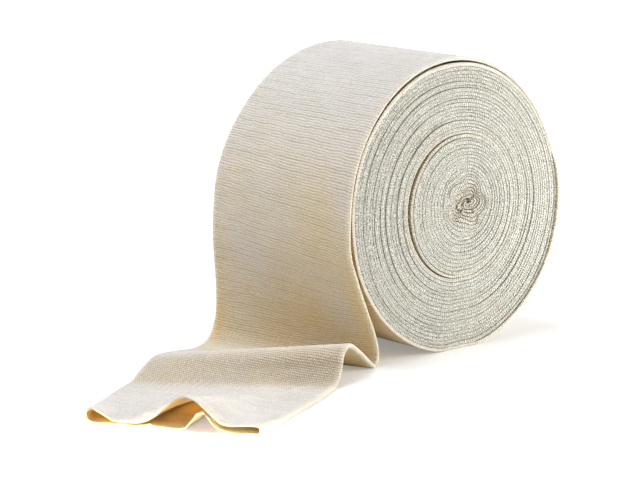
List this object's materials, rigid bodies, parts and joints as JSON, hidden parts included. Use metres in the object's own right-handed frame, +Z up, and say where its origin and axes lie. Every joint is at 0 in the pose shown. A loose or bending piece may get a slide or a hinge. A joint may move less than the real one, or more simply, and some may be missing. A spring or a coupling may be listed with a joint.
{
  "type": "tubular bandage",
  "caption": "Wound roll of knitted elastic tubular bandage standing on its curved side, its last turn slack and its free end running over a low hump to the open mouth of the tube.",
  "frame": {"origin": "on the floor under the middle of the roll, at the middle of its underside, which its own weight presses flat", "axes": "+Z up; Y along the roll's axis; the free end leaves the roll towards -X and turns towards -Y"},
  "size_m": [0.3084, 0.155, 0.1563],
  "materials": {
    "wound_knit": "matt knitted cotton and elastic, ecru",
    "loose_knit": "matt knitted cotton and elastic, ecru"
  },
  "bodies": {
    "root": {"wound_turns": "wound_knit", "loose_end": "loose_knit"}
  },
  "joints": []
}
